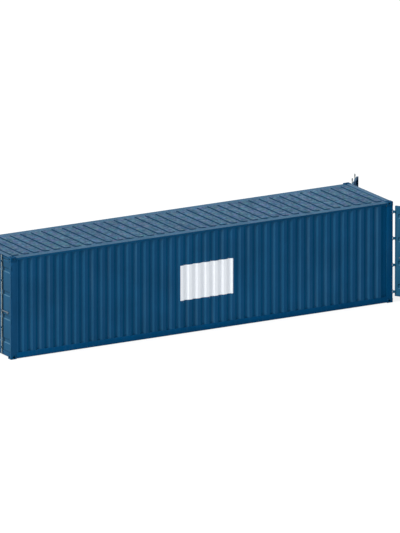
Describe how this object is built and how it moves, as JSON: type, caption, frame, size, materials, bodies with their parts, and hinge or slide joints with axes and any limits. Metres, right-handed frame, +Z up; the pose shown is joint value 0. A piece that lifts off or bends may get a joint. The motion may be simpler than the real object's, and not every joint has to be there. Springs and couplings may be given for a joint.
{
  "type": "shipping container",
  "caption": "Steel freight container with folded sheet walls, ribbed roof, corner castings and double doors at both ends",
  "frame": {"origin": "centre of the four bottom casting slots, on the plane the castings stand on", "axes": "+X along the length towards the end whose doors stand open, +Y across, +Z up"},
  "size_m": [13.0433, 4.3148, 2.896],
  "materials": {
    "body_paint": "satin",
    "roof_paint": "satin",
    "door_paint": "satin",
    "casting_paint": "satin",
    "galvanised": "dull",
    "plywood": "matte",
    "gasket": "matte"
  },
  "bodies": {
    "frame": {"bottom_rail_far": "body_paint", "bottom_rail_near": "body_paint", "casting_bottom_left_far": "casting_paint", "casting_bottom_left_near": "casting_paint", "casting_bottom_right_far": "casting_paint", "casting_bottom_right_near": "casting_paint", "casting_top_left_far": "casting_paint", "casting_top_left_near": "casting_paint", "casting_top_right_far": "casting_paint", "casting_top_right_near": "casting_paint", "cross_members": "body_paint", "floor": "plywood", "header_left": "body_paint", "header_right": "body_paint", "post_left_far": "body_paint", "post_left_near": "body_paint", "post_right_far": "body_paint", "post_right_near": "body_paint", "roof": "roof_paint", "side_wall_far": "body_paint", "side_wall_near": "body_paint", "sill_left": "body_paint", "sill_right": "body_paint", "top_rail_far": "body_paint", "top_rail_near": "body_paint"},
    "door_left_near": {"leaf_left_near": "door_paint", "gasket_left_near": "gasket"},
    "rod_left_near_outer_bar": {"rod_left_near_outer": "galvanised"},
    "rod_left_near_inner_bar": {"rod_left_near_inner": "galvanised"},
    "door_left_far": {"leaf_left_far": "door_paint", "gasket_left_far": "gasket"},
    "rod_left_far_outer_bar": {"rod_left_far_outer": "galvanised"},
    "rod_left_far_inner_bar": {"rod_left_far_inner": "galvanised"},
    "door_right_near": {"leaf_right_near": "door_paint", "gasket_right_near": "gasket"},
    "rod_right_near_outer_bar": {"rod_right_near_outer": "galvanised"},
    "rod_right_near_inner_bar": {"rod_right_near_inner": "galvanised"},
    "door_right_far": {"leaf_right_far": "door_paint", "gasket_right_far": "gasket"},
    "rod_right_far_outer_bar": {"rod_right_far_outer": "galvanised"},
    "rod_right_far_inner_bar": {"rod_right_far_inner": "galvanised"}
  },
  "joints": [
    {"name": "door_left_near_swing", "type": "hinge", "parent": "frame", "child": "door_left_near", "pos_m": [-6.096, -1.214, 1.45], "axis": [0, 0, 1], "range_deg": [0, 270]},
    {"name": "rod_left_near_outer_turn", "type": "hinge", "parent": "door_left_near", "child": "rod_left_near_outer_bar", "pos_m": [-6.072, -0.666, 1.45], "axis": [0, 0, 1], "range_deg": [-90, 0]},
    {"name": "rod_left_near_inner_turn", "type": "hinge", "parent": "door_left_near", "child": "rod_left_near_inner_bar", "pos_m": [-6.072, -0.169, 1.45], "axis": [0, 0, 1], "range_deg": [-90, 0]},
    {"name": "door_left_far_swing", "type": "hinge", "parent": "frame", "child": "door_left_far", "pos_m": [-6.096, 1.214, 1.45], "axis": [0, 0, -1], "range_deg": [0, 270]},
    {"name": "rod_left_far_outer_turn", "type": "hinge", "parent": "door_left_far", "child": "rod_left_far_outer_bar", "pos_m": [-6.072, 0.666, 1.45], "axis": [0, 0, -1], "range_deg": [-90, 0]},
    {"name": "rod_left_far_inner_turn", "type": "hinge", "parent": "door_left_far", "child": "rod_left_far_inner_bar", "pos_m": [-6.072, 0.169, 1.45], "axis": [0, 0, -1], "range_deg": [-90, 0]},
    {"name": "door_right_near_swing", "type": "hinge", "parent": "frame", "child": "door_right_near", "pos_m": [6.096, -1.214, 1.45], "axis": [0, 0, -1], "range_deg": [-146, 124]},
    {"name": "rod_right_near_outer_turn", "type": "hinge", "parent": "door_right_near", "child": "rod_right_near_outer_bar", "pos_m": [6.42234, -1.65489, 1.45], "axis": [0, 0, -1], "range_deg": [-90, 0]},
    {"name": "rod_right_near_inner_turn", "type": "hinge", "parent": "door_right_near", "child": "rod_right_near_inner_bar", "pos_m": [6.70025, -2.06692, 1.45], "axis": [0, 0, -1], "range_deg": [-90, 0]},
    {"name": "door_right_far_swing", "type": "hinge", "parent": "frame", "child": "door_right_far", "pos_m": [6.096, 1.214, 1.45], "axis": [0, 0, 1], "range_deg": [-141, 129]},
    {"name": "rod_right_far_outer_turn", "type": "hinge", "parent": "door_right_far", "child": "rod_right_far_outer_bar", "pos_m": [6.45952, 1.62477, 1.45], "axis": [0, 0, 1], "range_deg": [-90, 0]},
    {"name": "rod_right_far_inner_turn", "type": "hinge", "parent": "door_right_far", "child": "rod_right_far_inner_bar", "pos_m": [6.77229, 2.01101, 1.45], "axis": [0, 0, 1], "range_deg": [-90, 0]}
  ]
}
